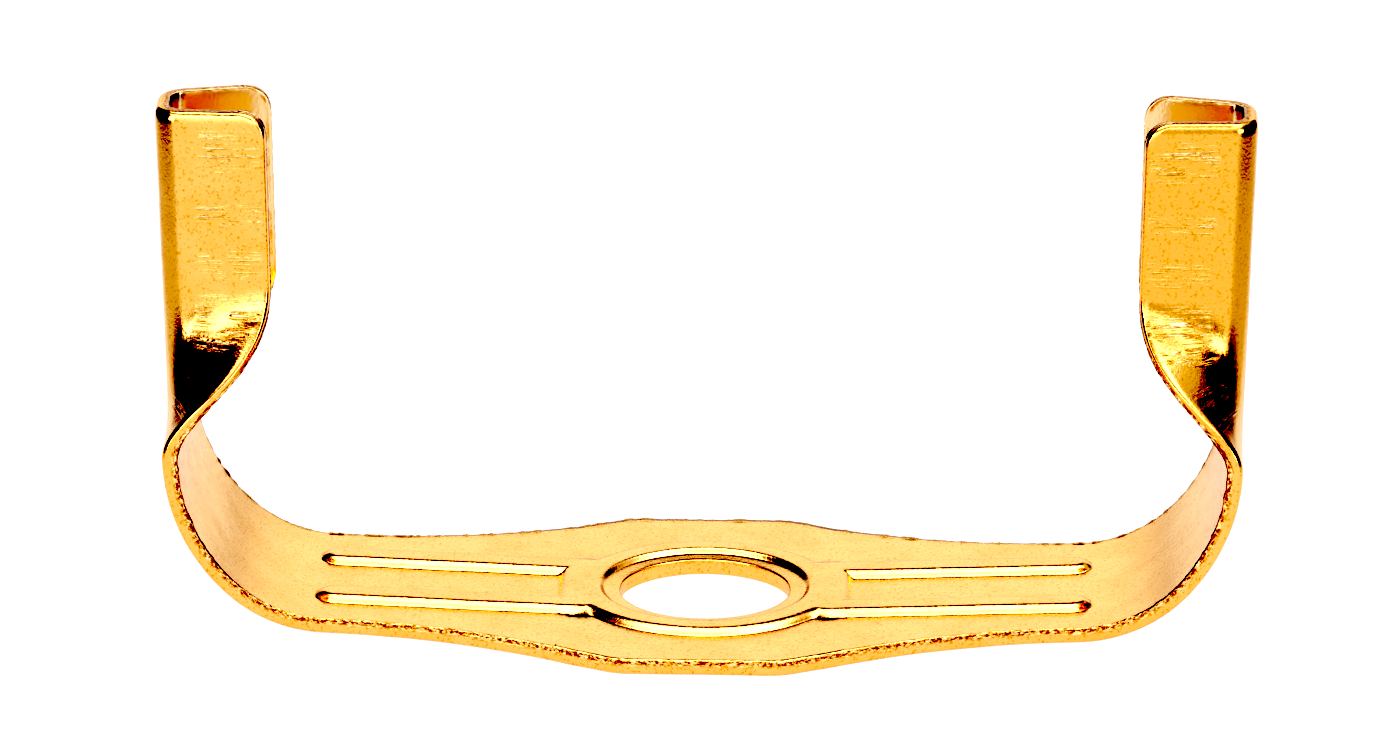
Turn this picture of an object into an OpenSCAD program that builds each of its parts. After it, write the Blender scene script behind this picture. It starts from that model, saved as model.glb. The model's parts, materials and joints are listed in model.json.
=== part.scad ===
// Lamp harp saddle: one strip of sheet metal that is pressed, bent up at both ends and folded
// at each end into a channel. A threaded lamp nipple passes through the seat's hole, and the
// two ends of a lamp harp slip over the channels.
// The origin is on the hole's axis, level with the underside. X runs from leg to leg, Z is up.

/* [Sheet] */
// Thickness of the sheet
sheet_t = 0.95; // [0.8:0.05:1.1]
// Width of the arms
arm_w = 15.4; // [15:0.1:16]
// Width of the seat around the hole
seat_w = 25.4; // [24:0.1:27]
// Length of the seat's straight front and rear edges
seat_l = 10; // [8:0.5:12]
// Angle at which the seat's edges turn in towards the arms
shoulder_angle = 27; // [24:1:30]
// Radius of the hollow curve from the seat's edge into the arm
shoulder_r = 32; // [24:1:34]

/* [Hole] */
// Radius of the hole for the lamp nipple
hole_r = 5.2; // [5:0.05:5.4]
// Outer radius of the slope that leads down to the hole
slope_r = 6.5; // [6.3:0.1:6.8]
// Height that the hole's lip drops below the raised disc
lip_drop = 0.35; // [0.2:0.05:0.4]

/* [Pressing] */
// Height of the pressed-up disc and ribs
press_h = 0.38; // [0.36:0.02:0.6]
// Radius of the disc at its foot
disc_r = 8.3; // [8:0.1:8.6]
// Distance between the centre lines of an arm's two ribs
rib_pitch = 6.8; // [6.4:0.1:7.2]
// Width of a rib at its foot
rib_w = 2.6; // [2.4:0.1:3]
// Distance from the hole's axis to a rib's outer end
rib_reach = 23.8; // [22:0.1:25]
// Distance from the hole's axis to the end of the web between the ribs
web_reach = 9; // [8.8:0.1:9.4]
// Width of the slope that runs round everything pressed up
slope_w = 0.6; // [0.4:0.1:0.8]

/* [Bends] */
// Angle at which each arm rises from the seat
arm_rise = 2.1; // [1:0.1:3]
// Length of an arm's straight part
arm_l = 14.8; // [14:0.1:16]
// Radius of the lower half of each bend
lower_bend_r = 8.8; // [8:0.1:10]
// Radius of the upper half of each bend
upper_bend_r = 11.7; // [10:0.1:13]
// Angle at which each leg leans outward
leg_splay = 1.9; // [0:0.1:3]

/* [Legs] */
// Length of a leg above the bend
leg_l = 20.5; // [18:0.5:24]
// Length of the leg over which the strip folds into a channel
fold_l = 9.6; // [8:0.2:11]
// Width of the leg's strip at its top, measured flat
leg_w = 15.9; // [15.4:0.1:16.2]
// Outer radius of the channel's two folds
fold_r = 1.9; // [1.7:0.1:2.2]
// Width of the flat strip between the two folds
web_w = 1.5; // [1:0.1:2]
// Angle that each flange still lacks of a right angle
toe_out = 8; // [4:1:12]
// Radius of each flange's top corner
corner_r = 1.5; // [1:0.1:2]

/* [Hidden] */
$fn = 96;

seat_flat = 7;                          // half length of the level part of the seat
rise_r = 30;                            // radius of the soft bend from seat to arm
rise_x = seat_flat + rise_r * tan(arm_rise / 2);
disc_top_r = disc_r - slope_w;
press_wall = 0.45;                      // how far the hollow below stays inside what is pressed up
bite = 0.2;                             // how far joined shapes run into each other
fold_mid_r = fold_r - sheet_t / 2;
fold_angle = 90 - toe_out;
fold_arc = arc_length(fold_mid_r, fold_angle);
half_turn = (90 - leg_splay - arm_rise) / 2;

// The middle of the sheet, from the hole's axis to the top of a leg: [length, bend radius] of
// each stretch, where 0 means straight.
stretches = [
    [seat_flat, 0],
    [arc_length(rise_r, arm_rise), rise_r],
    [arm_l, 0],
    [arc_length(lower_bend_r, half_turn), lower_bend_r],
    [arc_length(upper_bend_r, half_turn), upper_bend_r],
    [leg_l, 0]
];
leg_start = run_to(5);
leg_end = run_to(6);

function arc_length(r, angle) = r * angle * PI / 180;
function run_to(i) = i == 0 ? 0 : stretches[i - 1][0] + run_to(i - 1);

// Goes a distance along one stretch from p, where p is [x, z, direction].
function ahead(p, distance, r) =
    let (turned = p[2] + (r == 0 ? 0 : distance / r * 180 / PI))
    r == 0
        ? [p[0] + distance * cos(p[2]), p[1] + distance * sin(p[2]), p[2]]
        : [p[0] + r * (sin(turned) - sin(p[2])), p[1] - r * (cos(turned) - cos(p[2])), turned];

// The place at a distance along the sheet's middle.
function place(distance, p = [0, sheet_t / 2, 0], i = 0) =
    distance <= stretches[i][0] || i == len(stretches) - 1
        ? ahead(p, distance, stretches[i][1])
        : place(distance - stretches[i][0], ahead(p, stretches[i][0], stretches[i][1]), i + 1);

// The point on the sheet's side at a distance along it, shifted across its thickness.
function beside(distance, shift) =
    let (p = place(distance))
    [p[0] - shift * sin(p[2]), p[1] + shift * cos(p[2])];

function flip(points) = [for (p = points) [-p[0], p[1]]];
function backwards(points) = [for (i = [len(points) - 1:-1:0]) points[i]];

// The side view of the seat, the arms and the bends.
module side_view() {
    bend_steps = 14;
    marks = concat(
        [0, seat_flat, run_to(2), run_to(3)],
        [for (k = [1:bend_steps]) run_to(3) + k / bend_steps * stretches[3][0]],
        [for (k = [1:bend_steps]) run_to(4) + k / bend_steps * stretches[4][0]]
    );
    below = [for (m = marks) beside(m, -sheet_t / 2)];
    above = [for (m = marks) beside(m, sheet_t / 2)];
    polygon(concat(below, backwards(above), flip(above), backwards(flip(below))));
}

// The plan of the strip: straight seat edges, sloping shoulders, then hollow curves into the arms.
module plan() {
    curve_y = arm_w / 2 + shoulder_r;
    meet_y = curve_y - shoulder_r * cos(shoulder_angle);
    meet_x = seat_l / 2 + (seat_w / 2 - meet_y) / tan(shoulder_angle);
    curve_x = meet_x + shoulder_r * sin(shoulder_angle);
    quarter = concat(
        [[seat_l / 2, seat_w / 2]],
        [for (k = [0:12]) let (a = shoulder_angle * (1 - k / 12))
            [curve_x - shoulder_r * sin(a), curve_y - shoulder_r * cos(a)]],
        [[60, arm_w / 2]]
    );
    half = concat(quarter, backwards([for (p = quarter) [p[0], -p[1]]]));
    polygon(concat(half, backwards(flip(half))));
}

module strip() {
    intersection() {
        rotate([90, 0, 0]) linear_extrude(2 * seat_w, center = true) side_view();
        linear_extrude(60, center = true) plan();
    }
}

// A bar of the pressing with sloping sides, from x = 0 to x = l, and up from z = -bite.
module bar(l, w, h) {
    foot = w / 2 + bite * slope_w / press_h;
    rotate([90, 0, 90]) linear_extrude(l)
        polygon([[-foot, -bite], [foot, -bite], [w / 2 - slope_w, h], [-w / 2 + slope_w, h]]);
}

// A round boss with sloping sides, up from z = -bite.
module boss(r, h) {
    translate([0, 0, -bite])
        cylinder(h = h + bite, r1 = r + bite * slope_w / press_h, r2 = r - slope_w);
}

// The disc, the web and the four ribs. inset makes them smaller all round, for the hollow below.
module pressing(inset) {
    rib = rib_w - 2 * inset;
    boss(disc_r - inset, press_h);
    for (side = [0, 180]) rotate([0, 0, side]) {
        bar(web_reach - inset, rib_pitch + rib, press_h);
        for (y = [-rib_pitch / 2, rib_pitch / 2])
            translate([rise_x, y, 0]) rotate([0, -arm_rise, 0]) {
                length = rib_reach - rise_x - rib_w / 2;
                translate([-bite, 0, 0]) bar(length + bite, rib, press_h);
                translate([length, 0, 0]) boss(rib / 2, press_h);
            }
    }
}

// The ring that turns down towards the hole, as a solid disc.
module lip() {
    rotate_extrude()
        polygon([[0, press_h - lip_drop], [hole_r, press_h - lip_drop], [slope_r, press_h],
                 [slope_r, press_h + bite], [0, press_h + bite]]);
}

module pressed_strip() {
    top = sheet_t + press_h;
    difference() {
        union() {
            difference() {
                union() {
                    strip();
                    translate([0, 0, sheet_t]) pressing(0);
                }
                pressing(press_wall);
            }
            lip();
        }
        translate([0, 0, -1]) cylinder(h = top + 2, r = hole_r);
        translate([0, 0, top - lip_drop])
            cylinder(h = lip_drop + bite, r1 = hole_r,
                     r2 = slope_r + bite * (slope_r - hole_r) / lip_drop);
    }
}

// How far the strip is folded at a distance up the leg, from 0 when flat to 1.
function folded(up) =
    let (u = min(up / fold_l, 1))
    u * u * (3 - 2 * u);

// Half the width of the leg's strip at a distance up the leg, with its top corners rounded off.
function leg_half(up) =
    let (rounded = max(0, corner_r - (leg_l - up)))
    arm_w / 2 + (leg_w - arm_w) / 2 * up / leg_l - corner_r + sqrt(corner_r ^ 2 - rounded ^ 2);

// A point of the leg: u is the distance across the strip, measured flat, and up the distance
// up the leg. The flat web turns through the folds into the flanges.
function leg_point(up, u, shift) =
    let (
        angle = fold_angle * folded(up),
        in_fold = min(max(abs(u) - web_w / 2, 0), fold_arc),
        past = max(abs(u) - web_w / 2 - fold_arc, 0),
        turn = angle * in_fold / fold_arc,
        r = angle > 0.01 ? fold_arc / (angle * PI / 180) : 0,
        across = min(abs(u), web_w / 2) + (r > 0 ? r * sin(turn) : in_fold) + past * cos(angle)
            - shift * sin(turn),
        inward = (r > 0 ? r * (1 - cos(turn)) : 0) + past * sin(angle) + shift * cos(turn),
        p = place(leg_start + up)
    )
    [p[0] - inward * sin(p[2]), sign(u) * across, p[1] + inward * cos(p[2])];

// One leg, as a skin over rings of points round the strip's section.
module leg() {
    fold_steps = 6;
    levels = concat(
        [for (k = [0:18]) fold_l * k / 18],
        [for (k = [0:6]) leg_l - corner_r * (1 - sin(15 * k))]
    );
    stops = concat([for (k = [0:fold_steps]) web_w / 2 + fold_arc * k / fold_steps]);
    n = 2 * len(stops) + 2;
    function half_stops(up) = concat(stops, [leg_half(up)]);
    function ring(up) =
        let (h = half_stops(up), across = concat([for (u = backwards(h)) -u], h))
        concat([for (u = across) leg_point(up, u, -sheet_t / 2)],
               [for (u = backwards(across)) leg_point(up, u, sheet_t / 2)]);
    last = (len(levels) - 1) * 2 * n;
    polyhedron(
        points = [for (up = levels) each ring(up)],
        faces = concat(
            [for (i = [0:len(levels) - 2]) for (j = [0:2 * n - 1])
                let (a = i * 2 * n + j, b = i * 2 * n + (j + 1) % (2 * n))
                each [[a, a + 2 * n, b], [b, a + 2 * n, b + 2 * n]]],
            [for (j = [0:n - 2]) each [[j, j + 1, 2 * n - 2 - j], [j, 2 * n - 2 - j, 2 * n - 1 - j]]],
            [for (j = [0:n - 2]) each [[last + j, last + 2 * n - 2 - j, last + j + 1],
                                       [last + j, last + 2 * n - 1 - j, last + 2 * n - 2 - j]]]
        ),
        convexity = 8
    );
}

module saddle() {
    color("goldenrod") union() {
        pressed_strip();
        leg();
        mirror([1, 0, 0]) leg();
    }
}

saddle();
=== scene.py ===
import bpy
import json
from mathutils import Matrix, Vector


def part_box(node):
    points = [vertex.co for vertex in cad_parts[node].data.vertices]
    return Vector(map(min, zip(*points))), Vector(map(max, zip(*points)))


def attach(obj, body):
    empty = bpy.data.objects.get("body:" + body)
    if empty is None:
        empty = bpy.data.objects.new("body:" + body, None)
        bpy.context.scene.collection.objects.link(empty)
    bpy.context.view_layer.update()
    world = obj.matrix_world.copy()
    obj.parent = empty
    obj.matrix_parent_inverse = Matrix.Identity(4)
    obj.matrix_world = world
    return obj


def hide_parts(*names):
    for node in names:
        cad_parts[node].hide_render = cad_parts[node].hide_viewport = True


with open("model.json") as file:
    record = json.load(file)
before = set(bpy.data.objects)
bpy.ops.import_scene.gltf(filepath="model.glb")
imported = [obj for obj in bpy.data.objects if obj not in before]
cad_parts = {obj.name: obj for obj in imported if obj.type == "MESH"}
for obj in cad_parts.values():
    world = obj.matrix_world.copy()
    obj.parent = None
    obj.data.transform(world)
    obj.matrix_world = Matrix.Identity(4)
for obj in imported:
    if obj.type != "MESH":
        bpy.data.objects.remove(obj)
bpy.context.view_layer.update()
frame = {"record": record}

import json

import bmesh
import bpy
import numpy as np
from mathutils import Matrix, Vector

mm = 0.001
low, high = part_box("saddle")
nippleHole = next(m for m in frame["record"]["mounts"] if m["name"] == "nipple_hole")

sheet = {
    "thickness": 0.95,
    "armWidth": 15.4,
    "seatWidth": (high.y - low.y) / mm,
    "seatLength": 10.0,          # straight front and rear edges of the seat
    "seatCorner": 0.35,          # softness of the corner where the shoulder starts
    "shoulderAngle": 27.0,
    "shoulderRadius": 32.0,
    "seatFlat": 7.0,             # half length of the level part
    "riseRadius": 30.0,
    "armRise": 2.1,
    "armLength": 14.8,
    "lowerBend": 8.8,
    "upperBend": 11.7,
    "legSplay": 1.9,
    "legLength": 20.5,
    "foldLength": 9.6,
    "legWidth": 15.9,            # at the top of the leg, measured flat
    "foldRadius": 1.9,           # outer radius of the channel's folds
    "webWidth": 1.5,
    "toeOut": 8.0,
    "cornerRadius": 1.5,
    "waviness": 0.012,
}
pressing = {
    "height": 0.38,
    "slope": 0.7,
    "discRadius": 8.3,
    "ribPitch": 6.8,
    "ribWidth": 2.6,
    "ribReach": 23.8,
    "webReach": 9.0,
    "inset": 0.3,                # the hollow below stays this far inside
    "holeRadius": nippleHole["dims"]["r_mm"],
    "slopeRadius": 6.5,          # where the sheet starts to drop towards the hole
    "lipDrop": 0.35,
    "stepShare": 0.3,            # part of the way to the hole that the short step takes
    "stepDrop": 0.68,            # part of the drop that it takes
}
cutEdge = {
    "rollover": 0.28,            # rounded lower corner that the die leaves
    "legRollover": 0.45,         # the same, measured across the flanges of the legs
    "burr": 0.10,                # height of the ragged upper corner
    "tear": 0.13,                # depth of the torn band below the burr
    "tearPlaces": (0.05, 0.14, 0.23, 0.32),     # below the upper face
    "tearShares": (0.4, 1, 1, 0.4),
    "smoothFrom": 0.42,          # the smooth band starts here
    "lowerTurns": (0, 22, 45, 68),          # angles round the lower corner
    "tornRows": (0.7, 1, 1, 0.9, 0.4, 0.1, 0, 0, 0, 0, 0, 0),      # how torn each row looks
    "knotSpacing": 0.21,
    "upperInset": 0.06,          # of the ragged corner from the strip's outline
    "topLength": 0.8,            # how far the legs' top ends are drawn over
    "topDepth": 0.32,            # how deep, on the outer face
    "topInnerDepth": 0.1,        # and on the inner one
    "topNarrowing": 0.08,
    "topBurr": 0.05,
    "seed": 11,
}
dents = [                        # along the strip, across it, depth inwards, half length, half width
    (sheet["legLength"] + 35.3, -5.3, 0.09, 0.4, 0.8),
    (46.0, -6.3, 0.035, 0.9, 0.5),
    (-47.5, -6.0, -0.03, 1.2, 0.5),
    (-52.0, -5.0, 0.03, 0.6, 0.9),
    (30.5, 2.5, 0.02, 0.8, 1.5),
    (-31.0, -1.5, 0.02, 1.0, 1.2),
]

radians = np.pi / 180
halfSheet = sheet["thickness"] / 2
foldMidRadius = sheet["foldRadius"] - halfSheet
foldAngle = (90 - sheet["toeOut"]) * radians
foldArc = foldMidRadius * foldAngle
halfTurn = (90 - sheet["legSplay"] - sheet["armRise"]) / 2 * radians
stretches = [                    # length and bend radius of each stretch of the middle line, 0 is straight
    (sheet["seatFlat"], 0),
    (sheet["riseRadius"] * sheet["armRise"] * radians, sheet["riseRadius"]),
    (sheet["armLength"], 0),
    (sheet["lowerBend"] * halfTurn, sheet["lowerBend"]),
    (sheet["upperBend"] * halfTurn, sheet["upperBend"]),
    (sheet["legLength"], 0),
]
armEnd, legStart, legEnd = (sum(length for length, radius in stretches[:n]) for n in (3, 5, 6))


def ease(amount):
    # rises from 0 to 1 as 3a^2 - 2a^3
    amount = np.clip(amount, 0, 1)
    return amount * amount * (3 - 2 * amount)


def middleLine(distance):
    # The sheet's middle in side view: straights and arcs end to end. A point d along an arc of
    # radius r that starts at (x, z) in direction a is at x + r (sin(a + d/r) - sin a),
    # z - r (cos(a + d/r) - cos a).
    x, z, turn = np.zeros_like(distance), np.zeros_like(distance), np.zeros_like(distance)
    startX, startZ, startTurn, passed = 0.0, halfSheet, 0.0, 0.0
    for length, radius in stretches:
        def ahead(d):
            if radius == 0:
                return startX + d * np.cos(startTurn), startZ + d * np.sin(startTurn), startTurn + 0 * d
            turned = startTurn + d / radius
            return (startX + radius * (np.sin(turned) - np.sin(startTurn)),
                    startZ - radius * (np.cos(turned) - np.cos(startTurn)), turned)
        reached = distance >= passed
        onward = zip(ahead(distance - passed), (x, z, turn))
        x, z, turn = (np.where(reached, new, old) for new, old in onward)
        startX, startZ, startTurn = (float(value) for value in ahead(np.float64(length)))
        passed += length
    return x, z, turn


def halfWidth(distance):
    # Half the strip's width: the seat, a straight shoulder, a hollow arc into the arm, and a leg
    # that widens evenly and has its top corners rounded off by a circle.
    far = np.abs(distance)
    angle, radius = sheet["shoulderAngle"] * radians, sheet["shoulderRadius"]
    seat, arm = sheet["seatWidth"] / 2, sheet["armWidth"] / 2
    meetY = arm + radius * (1 - np.cos(angle))
    meetX = sheet["seatLength"] / 2 + (seat - meetY) / np.tan(angle)
    curveX = meetX + radius * np.sin(angle)
    shoulder = seat - (far - sheet["seatLength"] / 2) * np.tan(angle)
    soft = sheet["seatCorner"]
    gap = np.clip(0.5 + (shoulder - seat) / (2 * soft), 0, 1)
    corner = seat * gap + shoulder * (1 - gap) - soft * gap * (1 - gap)
    hollow = arm + radius - np.sqrt(np.clip(radius ** 2 - (curveX - far) ** 2, 0, None))
    up = np.clip(far - legStart, 0, None)
    leg = arm + (sheet["legWidth"] - sheet["armWidth"]) / 2 * up / sheet["legLength"]
    r = sheet["cornerRadius"]
    rounded = np.clip(far - legEnd + r, 0, r)
    leg = leg - r + np.sqrt(r * r - rounded * rounded)
    return np.where(far < meetX, corner, np.where(far < curveX, hollow, leg))


def pressed(distance, across, inset):
    # Height of the pressing: with a the largest of the distances inside the disc, the web and the
    # ribs, over the slope's width, it is 1 - (1 - a)^2, crisp at its foot and round at its top.
    # Towards the hole it drops again: a short step, then a flat cone.
    far, side = np.abs(distance), np.abs(across)
    out = np.hypot(distance, across)
    half = pressing["ribWidth"] / 2
    disc = pressing["discRadius"] - out
    offRib = np.hypot(np.clip(far - pressing["ribReach"] + half, 0, None), side - pressing["ribPitch"] / 2)
    rib = half - offRib
    web = np.minimum(pressing["webReach"] - far, pressing["ribPitch"] / 2 + half - side)
    inside = np.maximum(np.maximum(disc, rib), web) - inset
    bowlWidth = pressing["slopeRadius"] - pressing["holeRadius"]
    bowl = np.clip((pressing["slopeRadius"] - out) / bowlWidth, 0, 1)
    step = pressing["stepDrop"]
    drop = pressing["lipDrop"] * (step * ease(bowl / pressing["stepShare"]) + (1 - step) * bowl)
    steep = np.clip(1 - inside / pressing["slope"], 0, 1)
    return pressing["height"] * (1 - steep ** 2) - drop


def wavy(distance, across):
    # a slight unevenness of the sheet: three crossing sine waves
    return sheet["waviness"] * (np.sin(0.9 * distance + 0.4 * across) * 0.5
                                + np.sin(0.47 * distance - 1.1 * across + 1.7) * 0.3
                                + np.sin(2.3 * distance + 1.9 * across + 0.6) * 0.2)


def sheetPoint(distance, across, shift):
    # The place of a point of the sheet: distance along the middle line, across the flat strip,
    # and shift off its middle. Past the bend the strip turns through two arcs into a channel.
    distance, across, shift = np.broadcast_arrays(distance, across, shift)
    far, side = np.abs(distance), np.abs(across)
    x, z, turn = middleLine(far)
    shift = shift + wavy(distance, across)
    for place, offset, depth, halfLength, halfSpan in dents:
        shift = shift + depth * np.exp(-((distance - place) / halfLength) ** 2
                                       - ((across - offset) / halfSpan) ** 2)
    angle = np.maximum(foldAngle * ease((far - legStart) / sheet["foldLength"]), 1e-6)
    web = sheet["webWidth"] / 2
    inFold = np.clip(side - web, 0, foldArc)
    past = np.clip(side - web - foldArc, 0, None)
    bend = angle * inFold / foldArc
    radius = foldArc / angle
    y = np.minimum(side, web) + radius * np.sin(bend) + past * np.cos(angle) - shift * np.sin(bend)
    inward = radius * (1 - np.cos(bend)) + past * np.sin(angle) + shift * np.cos(bend)
    return np.stack([np.sign(distance) * (x - inward * np.sin(turn)), np.sign(across) * y,
                     z + inward * np.cos(turn)], -1)


def joined(*runs):
    # evenly spaced lines: each run is (from, to, steps), and runs share their ends
    return np.concatenate([[runs[0][0]]] + [np.linspace(a, b, n + 1)[1:] for a, b, n in runs])


ribLine, ribHalf = pressing["ribPitch"] / 2, pressing["ribWidth"] / 2
ribTop = ribHalf - pressing["slope"]
plainFrom = ribLine + ribHalf + 0.5
innerLines = joined((0, ribLine - ribHalf, 7), (ribLine - ribHalf, ribLine - ribTop, 7),
                    (ribLine - ribTop, ribLine + ribTop, 6), (ribLine + ribTop, ribLine + ribHalf, 7),
                    (ribLine + ribHalf, plainFrom, 2))
outerLines = np.array([0.18, 0.36, 0.54, 0.7, 0.84, 0.94, 1])


def acrossLines(width):
    # the lines across the strip: fixed ones over the ribs, then spread out to the given half width
    width = np.asarray(width)[..., None]
    outer = plainFrom + (width - plainFrom) * outerLines
    half = np.concatenate([np.broadcast_to(innerLines, outer.shape[:-1] + innerLines.shape), outer], -1)
    return np.concatenate([-half[..., :0:-1], half], -1)


knots = np.arange(-legEnd - 1, legEnd + 1, cutEdge["knotSpacing"])
ragged = np.random.default_rng(cutEdge["seed"]).random((10, len(knots)))


def rough(distance, row):
    return np.interp(distance, knots, ragged[row])


def rollover(distance):
    # how far in from the edge the lower corner's rounding starts
    growth = ease((np.abs(distance) - armEnd) / (legStart + 6 - armEnd))
    return cutEdge["rollover"] + (cutEdge["legRollover"] - cutEdge["rollover"]) * growth


def edgeProfile(distance, side):
    # The cut edge from its upper corner to its lower one, as insets from the strip's width and
    # shifts off the middle: a burr, a torn band, a smooth band and a corner rounded as an ellipse.
    row = 0 if side > 0 else 5
    burr = cutEdge["burr"] * rough(distance, row) ** 2
    tear = cutEdge["tear"]
    inwards, deep = rollover(distance), cutEdge["rollover"]
    angles = np.array(cutEdge["lowerTurns"]) * radians
    flat = np.zeros_like(distance)
    upper = [(flat + cutEdge["upperInset"], halfSheet + burr)]
    for k, (place, share) in enumerate(zip(cutEdge["tearPlaces"], cutEdge["tearShares"])):
        lift = burr * 0.4 if k == 0 else flat
        upper.append((tear * share * rough(distance, row + 1 + k), halfSheet - place + lift))
    lower = [(flat, flat + halfSheet - cutEdge["smoothFrom"]), (flat, flat)]
    for a in angles:
        lower.append((inwards * (1 - np.cos(a)), flat - halfSheet + deep * (1 - np.sin(a))))
    lower.append((inwards, flat - halfSheet))
    return [np.stack([point[k] for point in upper + lower], -1) for k in (0, 1)]


def sectionRing(distance, shrink):
    # One closed ring round the strip's section for every distance. Point i and the point that is
    # i from the ring's end face each other through the sheet.
    width = halfWidth(distance) - shrink
    right, left = edgeProfile(distance, 1), edgeProfile(distance, -1)
    count = right[0].shape[-1] // 2
    above, below = slice(1, count), slice(count, -1)
    upper = acrossLines(width - right[0][..., 0])
    lower = acrossLines(width - rollover(distance))[..., ::-1]
    rightAcross, leftAcross = width[..., None] - right[0], left[0] - width[..., None]
    across = np.concatenate([leftAcross[..., above][..., ::-1], upper, rightAcross[..., above],
                             rightAcross[..., below], lower, leftAcross[..., below][..., ::-1]], -1)
    along = np.broadcast_to(distance[..., None], across.shape)
    top = halfSheet + pressed(along[..., :upper.shape[-1]], upper, 0)
    top[..., 0] = left[1][..., 0]
    top[..., -1] = right[1][..., 0]
    base = -halfSheet + pressed(along[..., :lower.shape[-1]], lower, pressing["inset"])
    shift = np.concatenate([left[1][..., above][..., ::-1], top, right[1][..., above],
                            right[1][..., below], base, left[1][..., below][..., ::-1]], -1)
    rows = np.array(cutEdge["tornRows"])
    torn = np.concatenate([rows[above][::-1], np.zeros(upper.shape[-1]), rows[above],
                           rows[below], np.zeros(lower.shape[-1]), rows[below][::-1]])
    return along, across, shift, np.broadcast_to(torn, shift.shape)


patches = []


def addPatch(along, across, shift, torn=0.0, closed=False):
    # a grid of points with four-sided faces between them; closed joins the last column to the first
    along, across, shift, torn = np.broadcast_arrays(along, across, shift, torn)
    rows, columns = along.shape
    index = np.arange(rows * columns).reshape(rows, columns)
    if closed:
        index = np.concatenate([index, index[:, :1]], 1)
    faces = np.stack([index[:-1, :-1], index[1:, :-1], index[1:, 1:], index[:-1, 1:]], -1).reshape(-1, 4)
    patches.append((sheetPoint(along, across, shift).reshape(-1, 3),
                    np.stack([along, across, shift, torn], -1).reshape(-1, 4), faces))
    return index


holeCorner = 0.08                # softness of the hole's two corners
seatEnd = 8.9                    # where the round grid about the hole meets the arms' grid
seatSteps = 80                   # along the seat's front and rear edges
armGrid = {
    "ribEndFrom": 1.8,           # the grid is finer from here before the ribs' ends
    "ribEndTo": 0.2,             # to here past them
    "armSteps": 62,
    "ribEndSteps": 26,
    "bendSteps": 90,
    "legSteps": 30,
}


def buildArm(sign):
    # The ring is carried from the seat to the top of a leg. There the outer face is drawn over as
    # a quarter ellipse and the inner one a little, with a ragged rim, and the end is capped.
    reach, folded, corner = pressing["ribReach"], legStart + sheet["foldLength"], sheet["cornerRadius"]
    ribEndFrom, ribEndTo = reach - armGrid["ribEndFrom"], reach + armGrid["ribEndTo"]
    runs = joined((seatEnd, ribEndFrom, armGrid["armSteps"]),
                  (ribEndFrom, ribEndTo, armGrid["ribEndSteps"]),
                  (ribEndTo, folded, armGrid["bendSteps"]),
                  (folded, legEnd - corner, armGrid["legSteps"]))
    turned = np.arange(6, 27, 6) * radians
    arc = legEnd - corner * (1 - np.sin(turned))
    turns = np.arange(0, 91, 10) * radians
    ends = legEnd - cutEdge["topLength"] * (1 - np.sin(turns))
    draw = np.concatenate([np.zeros(len(runs) + len(arc)), 1 - np.cos(turns)])
    distance = np.concatenate([runs, arc, ends]) * sign
    along, across, shift, torn = sectionRing(distance, cutEdge["topNarrowing"] * draw)
    outer = shift <= 0
    rim = cutEdge["topBurr"] * rough(across * 3, 4) * draw[:, None] ** 2
    drawn = np.where(outer, cutEdge["topDepth"], cutEdge["topInnerDepth"]) * draw[:, None] / halfSheet
    shift = shift * (1 - drawn) + np.where(outer, 0, rim)
    onRim = (draw > 0.7)[:, None] & (shift > 0)
    index = addPatch(along, across, shift, np.maximum(torn, onRim), closed=True)
    last = index[-1, :-1]
    half = len(last) // 2
    facing = last[::-1]
    cap = np.stack([last[:half - 1], facing[:half - 1], facing[1:half], last[1:half]], -1)
    places, marks, faces = patches[-1]
    patches[-1] = (places, marks, np.concatenate([faces, cap]))


def seatOutline(inset):
    # The rim of the seat's grid, counted round from the right: the arm's lines at its two ends
    # and the strip's own edge between them.
    endWidth = halfWidth(np.float64(seatEnd)) - inset
    ends = acrossLines(endWidth)
    sweep = np.linspace(seatEnd, -seatEnd, seatSteps + 1)[1:-1]
    edge = halfWidth(sweep) - inset
    x = np.concatenate([np.full(len(ends), seatEnd), sweep, np.full(len(ends), -seatEnd), sweep[::-1]])
    y = np.concatenate([ends, edge, ends[::-1], -edge])
    return x, y


def seatSurface(face):
    # Rings about the hole that turn from circles into the seat's outline. Each point lies between
    # the circle's point at the same angle and the outline's point.
    upper = face > 0
    x, y = seatOutline(cutEdge["upperInset"] if upper else cutEdge["rollover"])
    angle = np.arctan2(y, x)
    hole, disc, slope = pressing["holeRadius"], pressing["discRadius"], pressing["slope"]
    step = pressing["slopeRadius"] - pressing["stepShare"] * (pressing["slopeRadius"] - hole)
    radii = joined((hole + holeCorner, step, 4), (step, pressing["slopeRadius"], 6),
                   (pressing["slopeRadius"], disc - slope, 5),
                   (disc - slope, disc, 8), (disc, disc + 0.2, 1))[:, None]
    part = np.array([0.09, 0.18, 0.28, 0.38, 0.49, 0.6, 0.71, 0.82, 0.92, 1])[:, None]
    ringX, ringY = radii * np.cos(angle), radii * np.sin(angle)
    gridX = np.concatenate([ringX, ringX[-1] * (1 - part) + x * part])
    gridY = np.concatenate([ringY, ringY[-1] * (1 - part) + y * part])
    shift = face * halfSheet + pressed(gridX, gridY, 0 if upper else pressing["inset"])
    if upper:
        burr = np.where(y > 0, edgeProfile(x, 1)[1][..., 0], edgeProfile(x, -1)[1][..., 0])
        onEdge = np.abs(y) > halfWidth(x) - cutEdge["upperInset"] - 0.01
        shift[-1] = np.where(onEdge, burr, shift[-1])
    addPatch(gridX, gridY, shift, closed=True)
    return gridX[0], gridY[0], shift[0]


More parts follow.
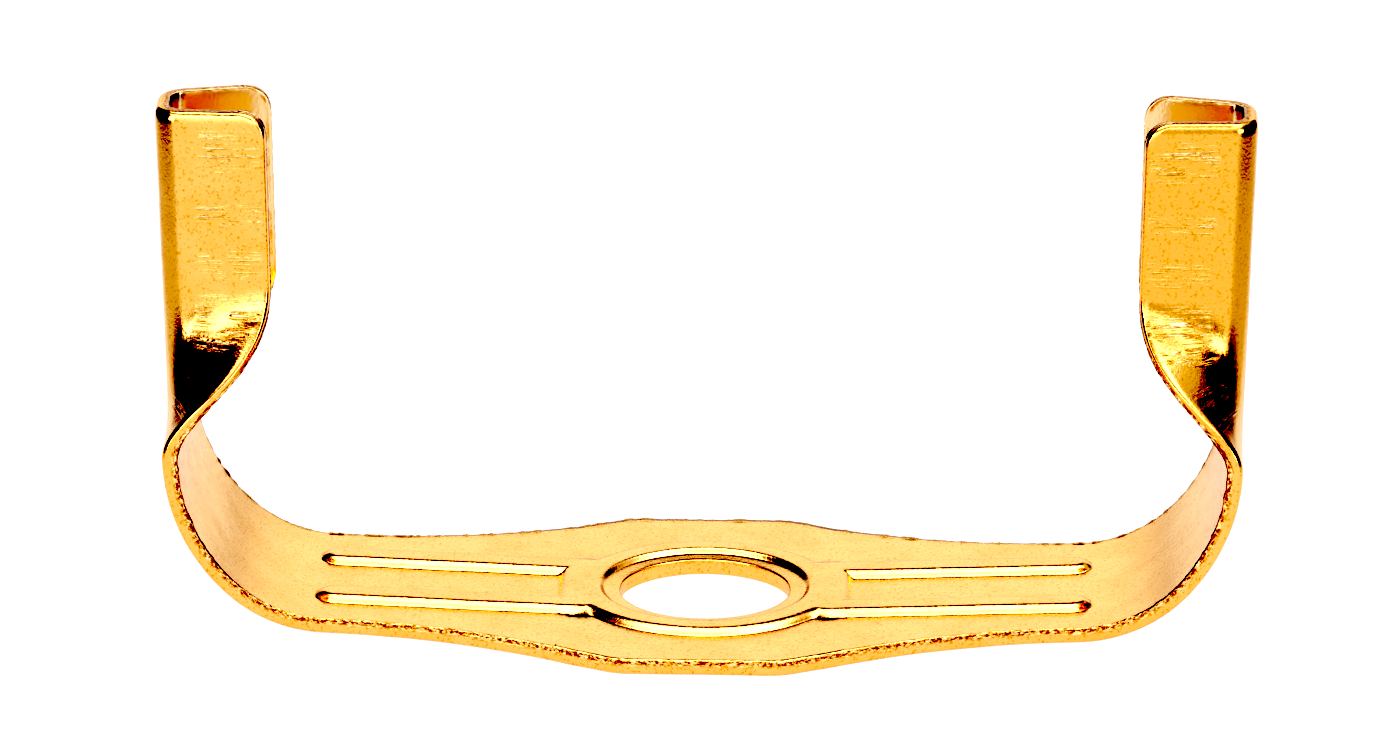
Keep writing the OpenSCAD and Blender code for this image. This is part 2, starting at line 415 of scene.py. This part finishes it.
def buildSeat():
    topRim, baseRim = seatSurface(1), seatSurface(-1)
    # the hole's wall, as columns between the two rims, with soft corners
    turns = np.array([30, 60, 90]) * radians
    rows = []
    for rim, face, order in ((topRim, 1, 1), (baseRim, -1, -1)):
        angle = np.arctan2(rim[1], rim[0])
        corner = [(pressing["holeRadius"] + holeCorner * (1 - np.sin(t)),
                   rim[2] - face * holeCorner * (1 - np.cos(t))) for t in turns][::order]
        rows += [(r * np.cos(angle), r * np.sin(angle), shift) for r, shift in corner]
    rows = [topRim] + rows + [baseRim]
    addPatch(*(np.stack([row[k] for row in rows]) for k in range(3)), closed=True)
    # the cut edge along the seat's front and rear
    sweep = np.linspace(seatEnd, -seatEnd, seatSteps + 1)
    for side in (1, -1):
        inset, shift = edgeProfile(sweep, side)
        addPatch(sweep[:, None], side * (halfWidth(sweep)[:, None] - inset), shift, cutEdge["tornRows"])


weldSteps = 2000                 # to the millimetre: points within a step become one


def weld(name):
    # all patches as one mesh: points that coincide become one, then the faces are turned outwards
    offsets = np.cumsum([0] + [len(p[0]) for p in patches[:-1]])
    places = np.concatenate([p[0] for p in patches])
    marks = np.concatenate([p[1] for p in patches])
    faces = np.concatenate([p[2] + offset for p, offset in zip(patches, offsets)])
    rounded = np.round(places * weldSteps).astype(np.int64)
    first, where = np.unique(rounded, axis=0, return_index=True, return_inverse=True)[1:]
    faces = where.reshape(-1)[faces]
    mesh = bpy.data.meshes.new(name)
    mesh.from_pydata((places[first] * mm).tolist(), [], faces.tolist())
    mesh.validate()
    marks = marks[first].astype(np.float32)
    sheetPlace = mesh.attributes.new("sheetPlace", "FLOAT_VECTOR", "POINT")
    sheetPlace.data.foreach_set("vector", marks[:, :3].ravel())
    torn = mesh.attributes.new("torn", "FLOAT", "POINT")
    torn.data.foreach_set("value", marks[:, 3].ravel())
    work = bmesh.new()
    work.from_mesh(mesh)
    bmesh.ops.recalc_face_normals(work, faces=work.faces)
    gaps = sum(1 for edge in work.edges if len(edge.link_faces) != 2)
    work.to_mesh(mesh)
    work.free()
    mesh.polygons.foreach_set("use_smooth", np.ones(len(mesh.polygons), bool))
    print(f"{name}: {len(mesh.vertices)} points, {len(mesh.polygons)} faces, {gaps} open edges")
    piece = bpy.data.objects.new(name, mesh)
    bpy.context.scene.collection.objects.link(piece)
    return piece


for sign in (1, -1):
    buildArm(sign)
buildSeat()
saddle = weld("plated_saddle")
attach(saddle, "root")
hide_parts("saddle")
print("strip built")


class Socket:
    # a value in a node tree; arithmetic on it adds Math nodes
    def __init__(self, tree, socket):
        self.tree, self.socket = tree, socket

    def maths(self, operation, first, second=None):
        math = self.tree.nodes.new("ShaderNodeMath")
        math.operation = operation
        for slot, value in zip(math.inputs, (first, second)):
            if isinstance(value, Socket):
                self.tree.links.new(value.socket, slot)
            elif value is not None:
                slot.default_value = value
        return Socket(self.tree, math.outputs[0])

    def __add__(self, other):
        return self.maths("ADD", self, other)

    def __radd__(self, other):
        return self.maths("ADD", other, self)

    def __sub__(self, other):
        return self.maths("SUBTRACT", self, other)

    def __rsub__(self, other):
        return self.maths("SUBTRACT", other, self)

    def __mul__(self, other):
        return self.maths("MULTIPLY", self, other)

    def __rmul__(self, other):
        return self.maths("MULTIPLY", other, self)

    def size(self):
        return self.maths("ABSOLUTE", self)

    def band(self, start, end):
        # 0 below start, 1 above end, eased between them; start may be the larger
        ranged = self.tree.nodes.new("ShaderNodeMapRange")
        ranged.interpolation_type = "SMOOTHSTEP"
        self.tree.links.new(self.socket, ranged.inputs["Value"])
        ranged.inputs["From Min"].default_value = start
        ranged.inputs["From Max"].default_value = end
        return Socket(self.tree, ranged.outputs["Result"])


class Nodes:
    # a node tree, where nodes are added by type, settings and socket values
    def __init__(self, tree):
        self.tree = tree

    def put(self, node, name, value):
        slot = node.inputs[int(name)] if name.isdigit() else node.inputs[name]
        if isinstance(value, Socket):
            self.tree.links.new(value.socket, slot)
        else:
            slot.default_value = value

    def node(self, kind, output, settings=None, **sockets):
        made = self.tree.nodes.new(kind)
        for key, value in (settings or {}).items():
            setattr(made, key, value)
        for name, value in sockets.items():
            self.put(made, name.replace("_", " "), value)
        return Socket(self.tree, made.outputs[output])

    def noise(self, vector, scale, detail=2.0, roughness=0.5):
        return self.node("ShaderNodeTexNoise", "Fac", Vector=vector, Scale=scale, Detail=detail,
                         Roughness=roughness)

    def scaled(self, vector, factors):
        settings = {"operation": "MULTIPLY"}
        return self.node("ShaderNodeVectorMath", "Vector", settings, **{"0": vector, "1": factors})

    def mixed(self, amount, first, second):
        settings = {"data_type": "RGBA"}
        return self.node("ShaderNodeMix", 2, settings, **{"0": amount, "6": first, "7": second})

    def parts(self, vector):
        split = self.node("ShaderNodeSeparateXYZ", 0, Vector=vector).socket.node
        return [Socket(self.tree, out) for out in split.outputs]


def finishOf(name, build, **settings):
    # a material: build gives the varying inputs, settings the inputs that are the same all over
    material = bpy.data.materials.new(name)
    material.use_nodes = True
    nodes = Nodes(material.node_tree)
    surface = material.node_tree.nodes["Principled BSDF"]
    for key, value in {**settings, **(build(nodes) if build else {})}.items():
        nodes.put(surface, key.replace("_", " "), value)
    return material


plating = {
    "bright": (0.96, 0.69, 0.32, 1),
    # deeper tone for random patches, and painted shade over the whole right leg
    "deep": (0.91, 0.635, 0.27, 1),
    "speck": (0.72, 0.42, 0.14, 1),
    "rubbed": (0.99, 0.86, 0.54, 1),        # paler on the die lines, which are real scratches, and on the torn crests: a painted highlight standing in for their glints
    "pit": (0.42, 0.2, 0.04, 1),            # painted shade in the torn hollows
    "grazing": (0.98, 0.95, 0.90, 1),       # tint of the reflection at a flat angle
    "pale": (0.92, 0.75, 0.47, 1),          # painted light: paler inside the channels
    "roughness": 0.12,
    "grain": 0.015,              # heights in millimetres
    "dieLines": 0.07,
    "tearing": 0.12,
    "scuffs": 0.012,
    "grainScale": 4800.0,        # cells to the metre
    "speckScale": 5000.0,
    "toneScale": 330.0,
    "lineScale": (6.5, 0.3, 1.0),           # cells to the millimetre along, across and off the sheet
    "patchScale": (0.9, 0.7, 0.0),
    "scuffScale": (1.1, 5.0, 1.0),
    "tearScale": (4.0, 4.0, 7.0),
    # die lines: millimetres down from the leg's top, half length of the group and strength
    "lineGroups": ((2.4, 1.5, 1.0), (6.4, 0.8, 0.9), (9.5, 1.2, 0.35), (13.2, 1.9, 1.0), (17.0, 1.4, 0.5)),
    "lineNear": (3.1, 4.2),      # where across the strip they fade in
    "lineFar": (7.8, 6.9),       # and out
    "outerFace": (-0.3, -0.42),  # shift off the sheet's middle at which the outer face starts
    "innerFace": (0.1, 0.4),     # and the inner one
}


def brassPlating(nodes):
    place = nodes.node("ShaderNodeAttribute", "Vector", {"attribute_name": "sheetPlace"})
    torn = nodes.node("ShaderNodeAttribute", "Fac", {"attribute_name": "torn"})
    spot = nodes.node("ShaderNodeTexCoord", "Object")
    along, across, depth = nodes.parts(place)
    fromMiddle, fromCentreLine = along.size(), across.size()
    # fine grain and specks all over, and a slow change of tone
    grain = nodes.noise(spot, plating["grainScale"], 3.0, 0.65)
    specks = nodes.noise(spot, plating["speckScale"], 3.0, 0.7).band(0.54, 0.68)
    tone = nodes.noise(spot, plating["toneScale"], 4.0, 0.6)
    # die lines run across the folded flanges, in groups
    down = legEnd - fromMiddle
    groups = 0.0
    for middle, half, strength in plating["lineGroups"]:
        groups = (down - middle).size().band(half, half * 0.5) * strength + groups
    flange = fromCentreLine.band(*plating["lineNear"]) * fromCentreLine.band(*plating["lineFar"])
    flange = flange * depth.band(*plating["outerFace"])
    lines = nodes.noise(nodes.scaled(place, plating["lineScale"]), 1.0, 3.0, 0.65).band(0.5, 0.66)
    patchy = nodes.noise(nodes.scaled(place, plating["patchScale"]), 1.0, 2.0).band(0.35, 0.55)
    dieLines = lines * flange * groups * patchy
    # scuffs where the strip was bent, and tears along its upper cut corner
    bends = fromMiddle.band(armEnd, armEnd + 4) * fromMiddle.band(legStart + 2, legStart - 3)
    scuffs = (nodes.noise(nodes.scaled(place, plating["scuffScale"]), 1.0, 3.0, 0.7) - 0.5) * bends
    tears = nodes.noise(nodes.scaled(place, plating["tearScale"]), 1.0, 3.0, 0.6)
    height = grain * plating["grain"] + dieLines * plating["dieLines"]
    height = height + tears * torn * plating["tearing"] + scuffs * plating["scuffs"]
    bump = nodes.node("ShaderNodeBump", "Normal", Strength=1.0, Distance=mm, Height=height)
    # some patches are deeper in tone at random, and the whole right leg is darker: painted shade
    toneAndRightShade = tone.band(0.35, 0.65) * 0.6 + along.band(legStart, legStart + 5) * 0.9
    colour = nodes.mixed(toneAndRightShade, plating["bright"], plating["deep"])
    colour = nodes.mixed(specks * 0.6 + torn * 0.2, colour, plating["speck"])
    # painted highlight: the die lines, which are real scratches, and the torn crests are paler
    colour = nodes.mixed(dieLines, colour, plating["rubbed"])
    colour = nodes.mixed(torn * tears.band(0.53, 0.6), colour, plating["rubbed"])
    # painted shade: dark colour in the torn hollows of the cut edge
    colour = nodes.mixed(torn * tears.band(0.49, 0.43), colour, plating["pit"])
    # painted light: the inner faces of the channels are paler
    channelLightMask = fromMiddle.band(legStart + 8, legStart + 14) * depth.band(*plating["innerFace"])
    colour = nodes.mixed(channelLightMask, colour, plating["pale"])
    roughness = plating["roughness"] + 0.08 * tone + 0.12 * torn
    return {"Base_Color": colour, "Roughness": roughness, "Normal": bump}


def paint(piece, material):
    piece.data.materials.clear()
    piece.data.materials.append(material)


paint(saddle, finishOf("brassPlating", brassPlating, Metallic=1.0, Specular_Tint=plating["grazing"]))
print("plating done")


studio = {
    "floorColour": (0.08, 0.08, 0.08, 1),
    "floorGlow": 0.98,           # light of its own, as paper on a light table has
    "floorSize": 3.0,
    "floorGap": 0.00002,
    "room": 0.02,                # strengths of the lights
    "ceiling": 2.8,
    "wall": 1.27,
    "front": 2.4,
    "rightGlow": 0.95,
    "lamps": 3.0,
    "ceilingEdge": (0.72, 0.9),  # each edge goes from dark to bright, in parts of a unit direction
    "ceilingFrontEdge": (-0.04, -0.26),     # past here the ceiling is dimmer
    "ceilingDimming": 0.52,
    "wallSides": (0.75, 0.9),
    "wallTop": (0.62, 0.48),
    "wallFoot": 0.64,            # share of its light that the wall has at its foot
    "wallRise": (-0.05, 0.3),
    "frontSlant": 1.08,          # the front light is narrower low down
    "frontSides": (-0.82, -0.96),
    "frontTop": (0.74, 0.6),
    "frontFoot": 0.58,
    "frontRise": (0.28, 0.4),
    "frontRight": (0.05, 0.3),   # it is dimmer to the right
    "frontDimming": 0.4,
    "glowSide": (0.15, 0.4),
    "glowFoot": (0.42, 0.58),
    "lampEdge": (0.975, 0.99),
    "lampPlace": (0.794, -0.598, 0.105),    # the right-hand one's direction
    "cards": (                   # cards that only show as reflections: glow, height, corners
        (0.87, 0.0004, ((0.070, -0.035), (0.125, -0.08), (0.125, 0.12), (0.070, 0.05))),
        (0.0, 0.0008, ((0.125, -0.07), (0.625, -0.42), (0.625, 1.0), (0.125, 0.16))),
    ),
    "blackLevel": (0.40, 0.42, 0.28),
}
white = (1, 1, 1, 1)


def sheetOf(name, corners, height):
    # a flat piece with the given corners, all at one height
    mesh = bpy.data.meshes.new(name)
    mesh.from_pydata([(x, y, height) for x, y in corners], [], [tuple(range(len(corners)))])
    made = bpy.data.objects.new(name, mesh)
    bpy.context.scene.collection.objects.link(made)
    return made


def glowingPaper(name, colour, roughness, glow):
    return finishOf(name, None, Base_Color=colour, Roughness=roughness, Emission_Color=white,
                    Emission_Strength=glow)


def buildFloor():
    half = studio["floorSize"] / 2
    corners = [(-half, -half), (half, -half), (half, half), (-half, half)]
    floor = sheetOf("floor", corners, low.z - studio["floorGap"])
    paint(floor, glowingPaper("floorPaper", studio["floorColour"], 0.9, studio["floorGlow"]))


def buildCards():
    # a pair of each, mirrored left and right; their corners run anticlockwise from above
    for number, (glow, height, corners) in enumerate(studio["cards"]):
        mirrored = [(-x, y) for x, y in corners[::-1]]
        for side, outline in (("Left", mirrored), ("Right", corners)):
            card = sheetOf(f"card{number}{side}", outline, height)
            paint(card, glowingPaper(card.name, (0, 0, 0, 1), 1.0, glow))
            card.visible_camera = False
            card.visible_diffuse = False
            card.visible_shadow = False


def buildWorld():
    # a dim room with a soft ceiling light, a pale wall behind the object, soft light from the front,
    # a faint glow high on the right and a lamp at each side of the front
    world = bpy.data.worlds.new("studio")
    world.use_nodes = True
    nodes = Nodes(world.node_tree)
    direction = nodes.node("ShaderNodeTexCoord", "Generated")
    right, back, up = nodes.parts(direction)
    ceiling = up.band(*studio["ceilingEdge"])
    ceiling = ceiling * (1 - studio["ceilingDimming"] * back.band(*studio["ceilingFrontEdge"]))
    wall = back.band(*studio["wallSides"]) * up.band(*studio["wallTop"])
    wall = wall * (studio["wallFoot"] + (1 - studio["wallFoot"]) * up.band(*studio["wallRise"]))
    front = (back - up * studio["frontSlant"]).band(*studio["frontSides"]) * up.band(*studio["frontTop"])
    front = front * (studio["frontFoot"] + (1 - studio["frontFoot"]) * up.band(*studio["frontRise"]))
    front = front * (1 - studio["frontDimming"] * right.band(*studio["frontRight"]))
    glow = right.band(*studio["glowSide"]) * up.band(*studio["glowFoot"])
    x, y, z = studio["lampPlace"]
    lamps = (right.size() * x + back * y + up * z).band(*studio["lampEdge"])
    light = studio["room"] + ceiling * studio["ceiling"] + wall * studio["wall"] + front * studio["front"]
    light = light + glow * studio["rightGlow"] + lamps * studio["lamps"]
    background = world.node_tree.nodes["Background"]
    nodes.put(background, "Strength", light)
    nodes.put(background, "Color", white)
    bpy.context.scene.world = world


camera = {
    "lens": 338.0,
    "distance": 0.8,
    "azimuth": 1.67,
    "elevation": 19.06,
    "roll": 0.16,
    "aimShift": (-0.00034, 0, -0.00134),    # from the middle of the object's box
}


def buildCamera():
    around, rise, roll = (camera[key] * radians for key in ("azimuth", "elevation", "roll"))
    ahead = Vector((-np.sin(around) * np.cos(rise), np.cos(around) * np.cos(rise), -np.sin(rise)))
    right = Vector((np.cos(around), np.sin(around), 0))
    up = right.cross(ahead)
    tilted = right * np.cos(roll) + up * np.sin(roll)
    upright = up * np.cos(roll) - right * np.sin(roll)
    data = bpy.data.cameras.new("camera")
    data.lens, data.sensor_width = camera["lens"], 36.0
    data.clip_start, data.clip_end = 0.01, 10
    made = bpy.data.objects.new("camera", data)
    aim = (low + high) / 2 + Vector(camera["aimShift"])
    made.matrix_world = (Matrix.Translation(aim - ahead * camera["distance"])
                         @ Matrix((tilted, upright, -ahead)).transposed().to_4x4())
    bpy.context.scene.collection.objects.link(made)
    bpy.context.scene.camera = made


buildFloor()
buildCards()
buildWorld()
buildCamera()
view = bpy.context.scene.view_settings
view.view_transform = "Standard"
view.use_curve_mapping = True
view.curve_mapping.black_level = studio["blackLevel"]
view.curve_mapping.update()
print("studio ready")
